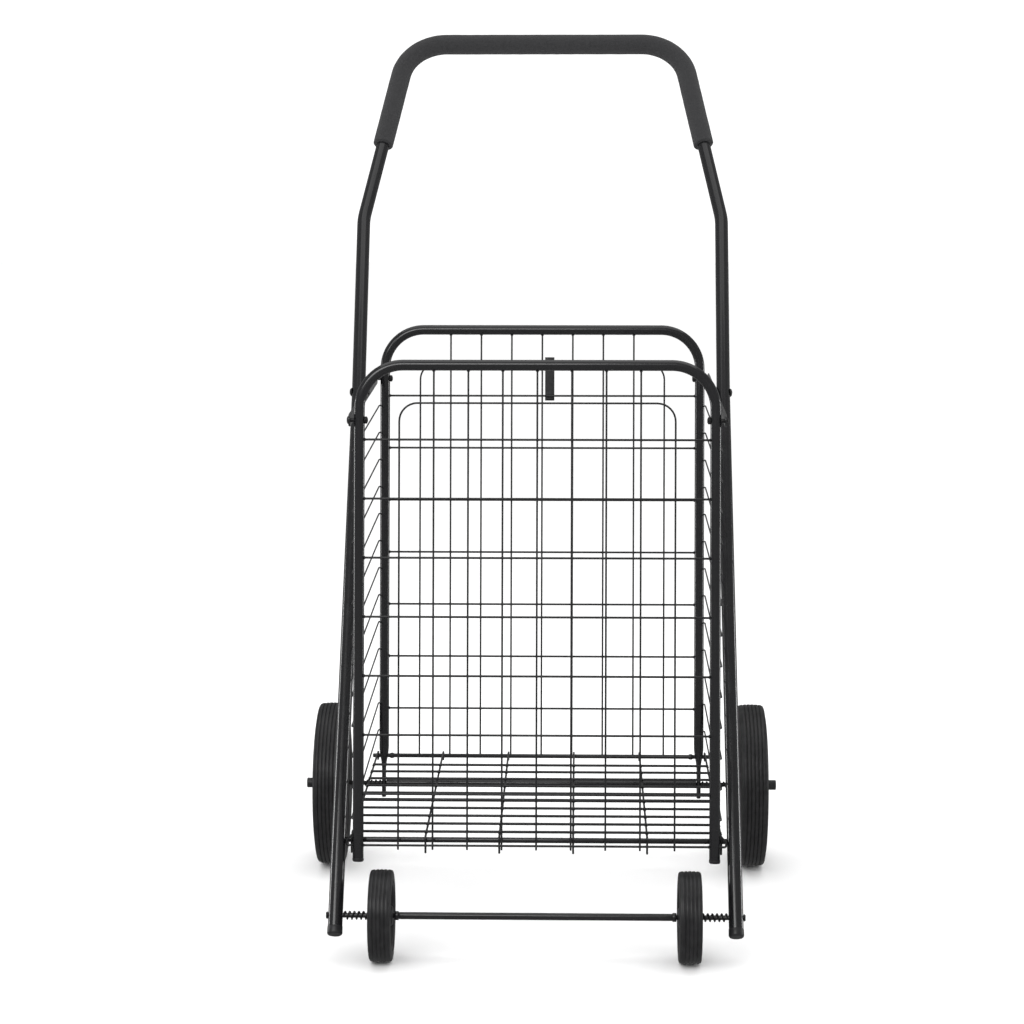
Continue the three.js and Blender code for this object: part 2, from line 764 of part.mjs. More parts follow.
const FRONT_SPRING = 4.15;
const REAR_SPRING = 4.1;
const SPRING_WIRE = 0.55;
const springRoom = SPRING_WIRE * Math.SQRT2 + GAP;
place(frontAxle, "front_axle", frontAxleShape(), steel);
for (const [sideName, side] of Object.entries(SIDES)) {
  const from = side * (FRONT_WHEEL_OUTER + springRoom);
  const to = side * (LEG_X - LEG_TUBE - springRoom);
  place(frontAxle, `front_spring_${sideName}`, spring(from, to, FRONT_SPRING, SPRING_WIRE, 5.5), steel);
  place(frontAxle, `front_wheel_${sideName}`, frontWheel(side), rubber);
}

// ---- Rear axle, sleeve, springs, wheels and caps ----
function rearAxleShape() {
  const end = AXLE_CAP_END - 4;
  return turned([[-end, 0], [-end, AXLE], [end, AXLE], [end, 0]], 8);
}

const FLAT_HALF = 2.9; // half the thickness of the rear frame's pressed ends
const SLEEVE = 4.4;
const sleeveEnd = FRAME_HALF_WIDTH - FLAT_HALF - GAP;

function rearSleeve() {
  const half = [[sleeveEnd, SLEEVE], [sleeveEnd, AXLE_HOLE]];
  return ring([...mirrored(half, -1), ...half], 8);
}

function axleCap(side) {
  const FLANGE = 7.4;
  const BODY = 5.8;
  const WALL_END = AXLE_CAP_END - 3.5;
  const from = REAR_WHEEL_OUTER + 1.5;
  const bore = AXLE + GAP;
  const outline = [
    [from, bore],
    [from, FLANGE],
    [from + 2, FLANGE],
    [from + 3, BODY],
    [AXLE_CAP_END - 2, BODY],
    [AXLE_CAP_END, BODY - 1.8],
    [AXLE_CAP_END, 0],
    [WALL_END, 0],
    [WALL_END, bore],
  ];
  return ring(mirrored(outline, side), 10);
}

place(rearAxle, "rear_axle", rearAxleShape(), steel);
place(rearAxle, "rear_sleeve", rearSleeve(), paint);
for (const [sideName, side] of Object.entries(SIDES)) {
  const from = side * (FRAME_HALF_WIDTH + FLAT_HALF + springRoom);
  const to = side * (REAR_WHEEL_INNER - springRoom);
  place(rearAxle, `rear_spring_${sideName}`, spring(from, to, REAR_SPRING, SPRING_WIRE, 6), steel);
  place(rearAxle, `rear_tyre_${sideName}`, rearTyre(side), rubber);
  place(rearAxle, `rear_hub_${sideName}`, rearHub(side), plastic);
  place(rearAxle, `rear_cap_${sideName}`, axleCap(side), plastic);
}

// The origin is on the floor, under the middle of the whole trolley.
trolley.updateMatrixWorld(true);
const middle = new THREE.Box3().setFromObject(trolley, true).getCenter(v3(0, 0, 0));
trolley.position.y = -middle.y;

export default trolley;
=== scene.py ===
import json
import math

import bpy
from mathutils import Matrix, Vector, noise

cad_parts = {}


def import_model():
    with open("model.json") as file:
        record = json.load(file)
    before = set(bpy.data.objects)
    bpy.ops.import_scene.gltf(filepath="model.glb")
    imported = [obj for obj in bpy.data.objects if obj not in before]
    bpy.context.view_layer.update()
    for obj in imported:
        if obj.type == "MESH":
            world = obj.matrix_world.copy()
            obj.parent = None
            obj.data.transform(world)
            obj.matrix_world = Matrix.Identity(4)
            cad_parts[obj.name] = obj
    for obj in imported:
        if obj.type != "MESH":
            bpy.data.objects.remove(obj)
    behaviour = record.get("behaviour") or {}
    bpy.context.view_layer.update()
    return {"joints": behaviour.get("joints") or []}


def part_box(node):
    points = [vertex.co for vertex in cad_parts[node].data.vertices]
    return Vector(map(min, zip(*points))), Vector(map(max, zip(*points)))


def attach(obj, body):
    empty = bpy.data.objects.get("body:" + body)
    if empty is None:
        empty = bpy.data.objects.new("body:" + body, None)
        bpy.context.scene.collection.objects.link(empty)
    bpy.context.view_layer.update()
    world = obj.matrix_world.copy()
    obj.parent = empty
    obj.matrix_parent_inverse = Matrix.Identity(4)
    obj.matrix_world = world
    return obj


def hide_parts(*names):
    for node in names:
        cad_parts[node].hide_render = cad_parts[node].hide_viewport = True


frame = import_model()

MM = 0.001
SIDES = {"left": -1, "right": 1}

# Driving dimensions in millimetres; a tube's, wire's, rod's, axle's or grip's own number is its radius.
# Basket frames and wire panels, with heights along the frame from the rear axle.
FRAME_X = 196
FRAME_TUBE = 6
FRAME_TOP = 565.6
FRAME_CORNER = 48
LINK_PIVOT = 505
FRONT_FOOT = 19
REAR_FOOT = -17
WIRE = 1.1
RUNG = 1.25
PANEL_PITCH = 38
RUNG_PITCH = 65
RUNGS = 7
TOP_RUNG = FRAME_TOP - 82
UPRIGHT_FOOT = 32.2
PANEL_FOOT = 37.2
ARCH_X = 4 * PANEL_PITCH
ARCH_TOP = FRAME_TOP - 41.7
CROSSING = 1.9
REAR_ROD = 2.5
REAR_ROD_HEIGHT = 34.4

# Links, side wires and tray.
LINK_X = 206.9
LINK_WIDTH = 14
LINK_THICK = 1.8
SIDE_ROWS = 13
SIDE_WIRE = 0.9
SIDE_WIRE_X = 203.3
FRONT_ROD = 3
TRAY_SPACING = 81.4
TRAY_PITCH = 33.8
TRAY_FIRST = 74
TRAY_LONG_WIRES = 6
TRAY_CROSS_WIRES = 10
TRAY_LONG_WIRE = 1.2
TRAY_WIRE = 1.5
THICK_WIRE = 2
THICK_WIRE_AT = 5
THICK_WIRE_END = 208.4
HOOK_DROP = 14

# Handle frame, with heights along the leg from the front axle.
LEG_X = 217.65
LEG_TUBE = 8
LEG_FOOT = -20
LEG_BEND = 892
LEG_BEND_X = 220.6
LEG_BEND_RADIUS = 90
HANDLE_TOP = 1154
HANDLE_TOP_X = 172.8
HANDLE_CORNER = 58
GRIP_FOOT = 1001
GRIP = 12.5

# Wheels and axles, with places across the trolley from its middle.
AXLE = 2.6
BORE = AXLE + 0.3
FRONT_RADIUS = 50
REAR_RADIUS = 100
FRONT_IN = 155
FRONT_OUT = 180
REAR_IN = 243
REAR_OUT = 277
RIM = 80
REAR_AXLE_END = 288
CAP_END = 291.98


# ---- Local frames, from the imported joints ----
joints = {joint["name"]: joint for joint in frame["joints"]}


def pivot(name):
    """A joint's place in millimetres, moved to the trolley's middle plane."""
    _, y, z = joints[name]["pos_m"]
    return Vector((0, y, z)) / MM


def tilted(origin, angle):
    """A local frame at a point in millimetres, turned about X; it also turns millimetres into metres."""
    return Matrix.Scale(MM, 4) @ Matrix.Translation(origin) @ Matrix.Rotation(angle, 4, "X")


rear_axle = pivot("rear_wheel_left_spin")
front_axle = pivot("front_wheel_left_spin")
fold_point = pivot("fold")
front_point = pivot("front_fold")
leg_point = pivot("handle_fold")
tray_point = pivot("tray_fold")
rod_low, rod_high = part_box("front_rod")
rod_point = (rod_low + rod_high) / 2 / MM

basket_up = fold_point - rear_axle
lean = math.atan2(basket_up.y, basket_up.z)
leg_up = leg_point - front_axle
handle_lean = math.atan2(leg_up.y, leg_up.z)
link_run = fold_point - front_point
slope = math.atan2(link_run.z, link_run.y)
LINK_LENGTH = link_run.length
LEG_PIVOT = leg_up.length
tray_run = tray_point - Vector((0, rod_point.y, rod_point.z))
TRAY_REACH = tray_run.length

REAR = tilted(rear_axle, -lean)
FRONT = tilted(front_point - basket_up, -lean)
HANDLE = tilted(front_axle, -handle_lean)
TRAY = tilted(tray_point, math.atan2(tray_run.z, tray_run.y))
FRONT_AXLE = tilted(front_axle, 0)
REAR_AXLE = tilted(rear_axle, 0)


# ---- Mesh building ----
# Edges that turn by more than SHARP_ANGLE stay sharp. END_TURNS are the turns in degrees at which the rings
# of a rounded end are set. A corner that turns by less than STRAIGHT, in radians, gets no bend.
SHARP_ANGLE = math.radians(38)
END_TURNS = (15, 45, 75)
STRAIGHT = 1e-4


class Shape:
    """Vertices and faces collected from several sweeps and turned pieces, in a local frame."""

    def __init__(self):
        self.verts = []
        self.faces = []

    def add(self, verts, faces):
        """Appends vertices, and faces that count from the first of them."""
        base = len(self.verts)
        self.verts += verts
        self.faces += [tuple(base + i for i in face) for face in faces]

    def rings(self, rings, closed=False):
        """Skins a list of rings of points; a ring of one point is a tip. Open ends are capped flat."""
        verts = []
        faces = []
        starts = []
        for ring in rings:
            starts.append(len(verts))
            verts += ring
        pairs = list(zip(range(len(rings) - 1), range(1, len(rings))))
        if closed:
            pairs.append((len(rings) - 1, 0))
        for a, b in pairs:
            faces += skin(starts[a], len(rings[a]), starts[b], len(rings[b]))
        if not closed and len(rings[0]) > 1:
            faces.append(tuple(reversed(range(len(rings[0])))))
        if not closed and len(rings[-1]) > 1:
            faces.append(tuple(range(starts[-1], starts[-1] + len(rings[-1]))))
        self.add(verts, faces)

    def piece(self, name, matrix, material, slot, body, *nodes):
        """Makes the object, rides it on its body and lets it stand for its CAD nodes."""
        mesh = bpy.data.meshes.new(name)
        mesh.from_pydata([matrix @ Vector(v) for v in self.verts], [], self.faces)
        mesh.validate()
        mesh.shade_smooth()
        mesh.set_sharp_from_angle(angle=SHARP_ANGLE)
        mesh.materials.append(material)
        piece = bpy.data.objects.new(name, mesh)
        bpy.context.scene.collection.objects.link(piece)
        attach(piece, body)
        if nodes:
            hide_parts(*nodes)


def skin(a, count_a, b, count_b):
    """Faces between two rings, or between a ring and a tip."""
    faces = []
    for i in range(max(count_a, count_b)):
        j = (i + 1) % max(count_a, count_b)
        if count_a == 1:
            faces.append((a, b + j, b + i))
        elif count_b == 1:
            faces.append((a + i, a + j, b))
        else:
            faces.append((a + i, a + j, b + j, b + i))
    return faces


def route(corners, radius, steps):
    """Points and directions along straight runs joined by round bends; a bend of 0 is a point on the way."""
    corners = [Vector(corner) for corner in corners]
    radii = radius if isinstance(radius, list) else [radius] * (len(corners) - 2)
    knots = [(corners[0], (corners[1] - corners[0]).normalized())]
    for before, corner, after, bend in zip(corners, corners[1:], corners[2:], radii):
        incoming = (corner - before).normalized()
        outgoing = (after - corner).normalized()
        angle = incoming.angle(outgoing)
        if bend == 0 or angle < STRAIGHT:
            knots.append((corner, (incoming + outgoing).normalized()))
            continue
        centre = corner + (outgoing - incoming).normalized() * (bend / math.cos(angle / 2))
        axis = incoming.cross(outgoing).normalized()
        arm = corner - incoming * (bend * math.tan(angle / 2)) - centre
        for i in range(steps + 1):
            turn = Matrix.Rotation(angle * i / steps, 3, axis)
            knots.append((centre + turn @ arm, turn @ incoming))
    knots.append((corners[-1], (corners[-1] - corners[-2]).normalized()))
    return knots


def refined(knots, step):
    """The same route with its straight runs cut into short steps."""
    fine = [knots[0]]
    for (a, _), (b, tangent) in zip(knots, knots[1:]):
        pieces = max(1, round((b - a).length / step))
        for i in range(1, pieces):
            fine.append((a.lerp(b, i / pieces), (b - a).normalized()))
        fine.append((b, tangent))
    return fine


def circle(radius, sides):
    """A round section."""
    angles = [2 * math.pi * (i + 0.5) / sides for i in range(sides)]
    return [(radius * math.cos(angle), radius * math.sin(angle)) for angle in angles]


def rounded_box(width, height, corner, steps=3):
    """A rectangle with round corners, as a section."""
    points = []
    for quarter, (sx, sy) in enumerate([(1, 1), (-1, 1), (-1, -1), (1, -1)]):
        for i in range(steps + 1):
            angle = math.pi / 2 * (quarter + i / steps)
            x = sx * (width / 2 - corner) + corner * math.cos(angle)
            y = sy * (height / 2 - corner) + corner * math.sin(angle)
            points.append((x, y))
    return points


def section_ring(knot, section, ref, scale):
    """A section set across a route at one of its knots, its second axis towards ref."""
    point, tangent = knot
    up = (ref - tangent * ref.dot(tangent)).normalized()
    across = up.cross(tangent)
    return [point + across * (x * scale[0]) + up * (y * scale[1]) for x, y in section]


def rounded_end(knot, section, ref, scale, radius, inward):
    """Rings that round off a bar's end, from its face inwards."""
    point, tangent = knot
    reach = max(math.hypot(x, y) for x, y in section)
    rings = []
    for turn in END_TURNS:
        angle = math.radians(turn)
        shrink = 1 - radius * (1 - math.sin(angle)) / reach
        moved = point + tangent * (radius * (1 - math.cos(angle)) * inward)
        rings.append(section_ring((moved, tangent), section, ref, (scale[0] * shrink, scale[1] * shrink)))
    moved = point + tangent * (radius * inward)
    rings.append(section_ring((moved, tangent), section, ref, scale))
    return rings


def sweep(shape, knots, section, ref, rounding=0.0, scales=None):
    """A bar with a section along a route, its ends rounded off by a radius."""
    ref = Vector(ref)
    scales = scales or [(1, 1)] * len(knots)
    rings = [section_ring(knot, section, ref, scale) for knot, scale in zip(knots, scales)]
    if rounding > 0:
        first = rounded_end(knots[0], section, ref, scales[0], rounding, 1)
        last = rounded_end(knots[-1], section, ref, scales[-1], rounding, -1)
        rings = first + rings[1:-1] + last[::-1]
    shape.rings(rings)


def wire(shape, corners, radius, bend=0, ref=(0, 1, 0), steps=6, sides=12):
    """A round wire with slightly rounded ends."""
    sweep(shape, route(corners, bend, steps), circle(radius, sides), ref, rounding=radius / 2)


def turned(shape, outline, sides, at=(0, 0, 0), closed=False):
    """A turned piece about a line along X; outline is a list of (x, radius)."""
    centre = Vector(at)
    rings = []
    for x, radius in outline:
        if radius == 0:
            rings.append([centre + Vector((x, 0, 0))])
            continue
        ring = []
        for i in range(sides):
            angle = 2 * math.pi * i / sides
            ring.append(centre + Vector((x, radius * math.cos(angle), radius * math.sin(angle))))
        rings.append(ring)
    shape.rings(rings, closed)


def upright_turned(shape, outline, at, sides=32):
    """A turned piece about a line along the local Z; outline is a list of (z, radius)."""
    flat = Shape()
    turned(flat, outline, sides)
    turn = Matrix.Translation(Vector(at)) @ Matrix.Rotation(-math.pi / 2, 4, "Y")
    shape.add([turn @ vert for vert in flat.verts], flat.faces)


def softened(outline, radius, steps=3):
    """An outline with its inner corners rounded, by less where a run is too short for the radius."""
    KEEP = 0.98
    SMALLEST = 1e-3
    points = [Vector((x, r, 0)) for x, r in outline]
    radii = []
    for before, corner, after in zip(points, points[1:], points[2:]):
        room = min((corner - before).length, (after - corner).length) / 2
        half = (corner - before).angle(after - corner) / 2
        radii.append(min(radius, KEEP * room / max(math.tan(half), SMALLEST)))
    return [(point.x, max(point.y, 0)) for point, _ in route(points, radii, steps)]


def mirror(outline, side):
    """A turned outline drawn for the right side, moved to the given side."""
    return outline if side > 0 else [(-x, r) for x, r in reversed(outline)]


def both_halves(half):
    """An outline drawn for the right half, with its left half before it."""
    return mirror(half, -1) + half


def across_wheel(low, high, section, between=()):
    """An outline across a wheel: a section of (inset, radius) from both sides, with points in between."""
    near = [(low + inset, radius) for inset, radius in section]
    far = [(high - inset, radius) for inset, radius in reversed(section)]
    return [*near, *between, *far]


def blob(shape, at, size, rings=4, sides=8):
    """A small weld bead: a squashed ball with a radius along each axis."""
    at = Vector(at)
    wide, deep, tall = size
    loops = [[at + Vector((0, 0, -tall))]]
    for j in range(1, rings):
        high = math.pi * (j / rings - 0.5)
        loop = []
        for i in range(sides):
            angle = 2 * math.pi * i / sides
            x = wide * math.cos(high) * math.cos(angle)
            y = deep * math.cos(high) * math.sin(angle)
            loop.append(at + Vector((x, y, tall * math.sin(high))))
        loops.append(loop)
    loops.append([at + Vector((0, 0, tall))])
    shape.rings(loops)


def sided(shape, side, at):
    """Moves a shape that is drawn for the right side to one side and to its place."""
    moved = Shape()
    verts = [Vector((side * vert.x + at[0], vert.y + at[1], vert.z + at[2])) for vert in shape.verts]
    faces = shape.faces if side > 0 else [tuple(reversed(face)) for face in shape.faces]
    moved.add(verts, faces)
    return moved


# ---- Materials ----
def dark(level, blue=0.001):
    """A near-black that is a little cold."""
    return (level, level, level + blue)


def material(name, color, roughness, metallic=0.0, coat=0.0):
    """A material with the values of its shader that are the same all over."""
    COAT_ROUGHNESS = 0.06
    made = bpy.data.materials.new(name)
    made.use_nodes = True
    shader = made.node_tree.nodes["Principled BSDF"]
    shader.inputs["Base Color"].default_value = (*color, 1)
    shader.inputs["Roughness"].default_value = roughness
    shader.inputs["Metallic"].default_value = metallic
    shader.inputs["Coat Weight"].default_value = coat
    shader.inputs["Coat Roughness"].default_value = COAT_ROUGHNESS
    return made


def textured(made, kind, scale):
    """A procedural texture on the piece's own coordinates."""
    tree = made.node_tree
    coordinates = tree.nodes.new("ShaderNodeTexCoord")
    texture = tree.nodes.new(kind)
    texture.inputs["Scale"].default_value = scale
    tree.links.new(coordinates.outputs["Object"], texture.inputs["Vector"])
    return texture


def mottle(made, scale, detail, rough=0.5):
    """Noise from 0 to 1 over the surface."""
    texture = textured(made, "ShaderNodeTexNoise", scale)
    texture.inputs["Detail"].default_value = detail
    texture.inputs["Roughness"].default_value = rough
    return texture.outputs["Fac"]


def vary_color(made, source, low, high, darker, lighter):
    """Runs the colour from darker to lighter as the source goes from low to high."""
    tree = made.node_tree
    node = tree.nodes.new("ShaderNodeValToRGB")
    first, last = node.color_ramp.elements
    first.position = low
    first.color = (*darker, 1)
    last.position = high
    last.color = (*lighter, 1)
    tree.links.new(source, node.inputs["Fac"])
    tree.links.new(node.outputs["Color"], tree.nodes["Principled BSDF"].inputs["Base Color"])


def vary_roughness(made, source, low, high):
    """Runs the roughness from low to high over the middle of the source's values."""
    MIDDLE = (0.3, 0.7)
    tree = made.node_tree
    node = tree.nodes.new("ShaderNodeMapRange")
    node.inputs["From Min"].default_value, node.inputs["From Max"].default_value = MIDDLE
    node.inputs["To Min"].default_value = low
    node.inputs["To Max"].default_value = high
    tree.links.new(source, node.inputs["Value"])
    tree.links.new(node.outputs["Result"], tree.nodes["Principled BSDF"].inputs["Roughness"])


def bump(made, source, strength, distance):
    """Bumps of a distance in metres."""
    tree = made.node_tree
    node = tree.nodes.new("ShaderNodeBump")
    node.inputs["Strength"].default_value = strength
    node.inputs["Distance"].default_value = distance
    tree.links.new(source, node.inputs["Height"])
    tree.links.new(node.outputs["Normal"], tree.nodes["Principled BSDF"].inputs["Normal"])


def gloss_black():
    """Black enamel on the tubes, with a faint orange peel and small scuffs."""
    made = material("gloss_black_enamel", dark(0.01), roughness=0.2, coat=0.6)
    scuffs = mottle(made, scale=260, detail=6, rough=0.7)
    vary_color(made, scuffs, low=0.62, high=0.78, darker=dark(0.009), lighter=dark(0.03))
    vary_roughness(made, mottle(made, scale=35, detail=5, rough=0.6), low=0.16, high=0.3)
    bump(made, mottle(made, scale=700, detail=2), strength=0.05, distance=0.0004)
    return made


def wire_black():
    """Thinner, slightly rougher black coating on the wires."""
    made = material("black_coated_wire", dark(0.012), roughness=0.32, coat=0.25)
    wear = mottle(made, scale=420, detail=5, rough=0.65)
    vary_color(made, wear, low=0.55, high=0.8, darker=dark(0.01), lighter=dark(0.032, blue=0.002))
    vary_roughness(made, mottle(made, scale=120, detail=4, rough=0.6), low=0.26, high=0.42)
    bump(made, mottle(made, scale=1400, detail=2), strength=0.12, distance=0.0003)
    return made


def dark_steel():
    """Blackened steel of the bolts, the springs and the rear axle, worn to a warmer grey in places."""
    WORN = (0.085, 0.084, 0.082)
    made = material("blackened_steel", dark(0.03), roughness=0.36, metallic=0.7)
    wear = mottle(made, scale=500, detail=5, rough=0.7)
    vary_color(made, wear, low=0.45, high=0.75, darker=dark(0.022), lighter=WORN)
    vary_roughness(made, mottle(made, scale=240, detail=4), low=0.3, high=0.5)
    bump(made, mottle(made, scale=1800, detail=2), strength=0.12, distance=0.0002)
    return made


def foam():
    """Matt closed-cell foam: open pores, soft mottling."""
    made = material("grip_foam", dark(0.03), roughness=0.95)
    spots = mottle(made, scale=900, detail=6, rough=0.75)
    vary_color(made, spots, low=0.35, high=0.7, darker=dark(0.016), lighter=dark(0.042, blue=0.002))
    cells = textured(made, "ShaderNodeTexVoronoi", scale=1500)
    bump(made, cells.outputs["Distance"], strength=0.55, distance=0.0005)
    shader = made.node_tree.nodes["Principled BSDF"]
    shader.inputs["Specular IOR Level"].default_value = 0.3
    shader.inputs["Sheen Weight"].default_value = 0.05
    shader.inputs["Sheen Roughness"].default_value = 0.6
    return made


def tyre_rubber():
    """Satin black rubber of the large tyres."""
    made = material("tyre_rubber", dark(0.013), roughness=0.45)
    spots = mottle(made, scale=180, detail=6, rough=0.7)
    vary_color(made, spots, low=0.35, high=0.75, darker=dark(0.008), lighter=dark(0.022))
    vary_roughness(made, mottle(made, scale=60, detail=4), low=0.34, high=0.52)
    bump(made, mottle(made, scale=1100, detail=4, rough=0.7), strength=0.25, distance=0.0004)
    return made


def wheel_plastic():
    """Moulded black plastic of the large hubs and the small wheels."""
    made = material("wheel_plastic", dark(0.015), roughness=0.38)
    spots = mottle(made, scale=90, detail=5, rough=0.6)
    vary_color(made, spots, low=0.4, high=0.75, darker=dark(0.011), lighter=dark(0.022))
    vary_roughness(made, mottle(made, scale=45, detail=4), low=0.3, high=0.46)
    bump(made, mottle(made, scale=1500, detail=2), strength=0.2, distance=0.0003)
    return made


def trim_plastic():
    """Black plastic of the plugs, caps and the latch."""
    made = material("trim_plastic", dark(0.016), roughness=0.4)
    spots = mottle(made, scale=140, detail=5, rough=0.6)
    vary_color(made, spots, low=0.4, high=0.75, darker=dark(0.013), lighter=dark(0.026, blue=0.002))
    vary_roughness(made, mottle(made, scale=80, detail=4), low=0.32, high=0.5)
    bump(made, mottle(made, scale=1200, detail=2), strength=0.15, distance=0.0003)
    return made


PAINT = gloss_black()
WIRES = wire_black()
STEEL = dark_steel()
FOAM = foam()
TYRE = tyre_rubber()
WHEEL = wheel_plastic()
TRIM = trim_plastic()


# ---- Basket frames ----
TUBE_SIDES = 32


def tube_route(foot):
    """Up one leg of a basket frame, over its top and down the other leg."""
    STEPS = 20
    left = [(-FRAME_X, 0, foot), (-FRAME_X, 0, FRAME_TOP)]
    right = [(FRAME_X, 0, FRAME_TOP), (FRAME_X, 0, foot)]
    return route(left + right, FRAME_CORNER, STEPS)


def front_frame():
    """The front tube, with a plastic plug in each foot."""
    FACE = 5.4
    FLANGE = 6.3
    CHAMFER = 1.5
    TOP = 4
    NECK = 5.6
    shape = Shape()
    sweep(shape, tube_route(FRONT_FOOT + CHAMFER), circle(FRAME_TUBE, TUBE_SIDES), (0, 1, 0))
    shape.piece("front_tube", FRONT, PAINT, "frame_paint", "basket_front", "front_frame")
    outline = [(0, 0), (0, FACE), (CHAMFER, FLANGE), (TOP, FLANGE), (TOP, NECK)]
    outline = softened(outline, radius=0.8) + [(TOP, 0)]
    for name, side in SIDES.items():
        plug = Shape()
        upright_turned(plug, outline, (side * FRAME_X, 0, FRONT_FOOT))
        plug.piece(f"front_plug_{name}", FRONT, TRIM, "trim_plastic", "basket_front")


def flat_end(height):
    """How much the rear tube is pressed flat at a height: thinner across, wider along."""
    FLAT_TOP = 18
    TAPER_TOP = 46
    THINNER = 0.56
    WIDER = 0.3
    fade = min(1, max(0, (TAPER_TOP - height) / (TAPER_TOP - FLAT_TOP)))
    ease = fade * fade * (3 - 2 * fade)
    return (1 - THINNER * ease, 1 + WIDER * ease)


def rear_frame():
    """The rear tube, with feet pressed flat for the axle."""
    STEP = 5
    shape = Shape()
    knots = refined(tube_route(REAR_FOOT), STEP)
    scales = [flat_end(point.z) for point, _ in knots]
    sweep(shape, knots, circle(FRAME_TUBE, TUBE_SIDES), (0, 1, 0), rounding=0.8, scales=scales)
    shape.piece("rear_tube", REAR, PAINT, "frame_paint", "basket_rear", "rear_frame")


# ---- Wire panels ----
def panel(rung_side, with_foot):
    """Uprights, an arch and rungs of wire, welded to each other and to the frame's tube."""
    ARCH_BEND = 20
    INTO_BAR = 0.4
    INTO_LEG = 0.3
    BEAD_IN = 0.6
    AT_TOP = (1.9, 1.9, 1.3)
    AT_ARCH = (1.7, 1.3, 1.7)
    AT_RUNG = (1.6, 1.2, 1.6)
    AT_LEG = (1.3, 1.9, 1.9)
    shape = Shape()
    bar_bottom = FRAME_TOP - FRAME_TUBE + INTO_BAR
    leg_inside = FRAME_X - FRAME_TUBE + INTO_LEG
    rung_y = rung_side * CROSSING
    uprights = [i * PANEL_PITCH for i in range(-3, 4)]
    heights = [TOP_RUNG - i * RUNG_PITCH for i in range(RUNGS)]
    if with_foot:
        heights.append(PANEL_FOOT)
    places = [(-ARCH_X, UPRIGHT_FOOT), (-ARCH_X, ARCH_TOP), (ARCH_X, ARCH_TOP), (ARCH_X, UPRIGHT_FOOT)]
    wire(shape, [(x, 0, z) for x, z in places], WIRE, bend=ARCH_BEND, steps=8)
    for x in uprights:
        wire(shape, [(x, 0, UPRIGHT_FOOT), (x, 0, bar_bottom)], WIRE)
        blob(shape, (x, 0, bar_bottom - BEAD_IN), AT_TOP)
        blob(shape, (x, 0, ARCH_TOP), AT_ARCH)
    for z in heights:
        wire(shape, [(-leg_inside, rung_y, z), (leg_inside, rung_y, z)], RUNG, ref=(0, 0, 1))
        for x in [-ARCH_X, *uprights, ARCH_X]:
            blob(shape, (x, rung_y / 2, z), AT_RUNG)
        for side in SIDES.values():
            blob(shape, (side * (leg_inside - BEAD_IN), rung_y, z), AT_LEG)
    return shape


def rear_rod(shape):
    """The rod under the rear panel, with a crimped ring inside each leg."""
    END = 210
    CHAMFER = 0.8
    RING = 186
    RING_FOOT = 3
    RING_HALF = 1
    RING_HEIGHT = 1
    crest = REAR_ROD + RING_HEIGHT
    ring = [
        (RING - RING_FOOT, REAR_ROD),
        (RING - RING_HALF, crest),
        (RING + RING_HALF, crest),
        (RING + RING_FOOT, REAR_ROD),
    ]
    tip = [(END - CHAMFER, REAR_ROD), (END, REAR_ROD - CHAMFER), (END, 0)]
    turned(shape, both_halves(ring + tip), sides=24, at=(0, 0, REAR_ROD_HEIGHT))


def rod_catch(shape, side):
    """The front panel's lowest wire comes out of the leg and turns up in a small hook beside the rod."""
    REACH = 12.5
    TIP = 5
    RETURN = 13
    BEND = 2.2
    INTO_LEG = 0.5
    BEAD = (1.5, 2, 2)
    out = side * (FRAME_X + REACH)
    back = side * (FRAME_X + FRAME_TUBE - INTO_LEG)
    places = [(back, 0), (out, 0), (out, TIP), (back, RETURN)]
    wire(shape, [(x, -CROSSING, PANEL_FOOT + rise) for x, rise in places], RUNG, bend=BEND)
    for rise in (0, RETURN):
        blob(shape, (back, -CROSSING, PANEL_FOOT + rise), BEAD)


def panels():
    """Rungs face outwards on both panels; only the front one has a lowest wire with hooks."""
    front = panel(-1, with_foot=True)
    for side in SIDES.values():
        rod_catch(front, side)
    front.piece("front_panel", FRONT, WIRES, "wire_paint", "basket_front", "front_grid")
    rear = panel(1, with_foot=False)
    rear_rod(rear)
    rear.piece("rear_panel", REAR, WIRES, "wire_paint", "basket_rear", "rear_grid")


# ---- Bolts ----
def dome_bolt(inner, outer, head, height):
    """A bolt with a domed head outside, drawn for the right side."""
    SHANK = 2.3
    FLANGE = 0.5
    LIP = 0.25
    STEP = 12
    flange = [(outer - FLANGE, SHANK), (outer - FLANGE, head + LIP), (outer, head + LIP)]
    angles = [math.radians(turn) for turn in range(0, 90, STEP)]
    dome = [(outer + height * math.sin(angle), head * math.cos(angle)) for angle in angles]
    shape = Shape()
    turned(shape, [(inner, 0), (inner, SHANK), *flange, *dome, (outer + height, 0)], sides=32)
    return shape


def nut(shape, inner, outer, size):
    """A hexagonal nut, chamfered on its inner face."""
    CHAMFER = 0.6
    outline = [(inner, 0), (inner, size - CHAMFER), (inner + CHAMFER, size), (outer, size), (outer, 0)]
    turned(shape, outline, sides=6)


def link_bolt():
    """The bolt through a basket leg and a link's end, with its nut on the leg's inner side."""
    STICK_OUT = 3.4
    NUT_END = 2.8
    SEAT = 0.1
    HEAD_GAP = 0.4
    inside = FRAME_X - FRAME_TUBE
    outside = LINK_X + LINK_THICK / 2 + HEAD_GAP
    shape = dome_bolt(inside - STICK_OUT, outside, head=4.4, height=1.8)
    nut(shape, inside - NUT_END, inside - SEAT, size=4.5)
    return shape


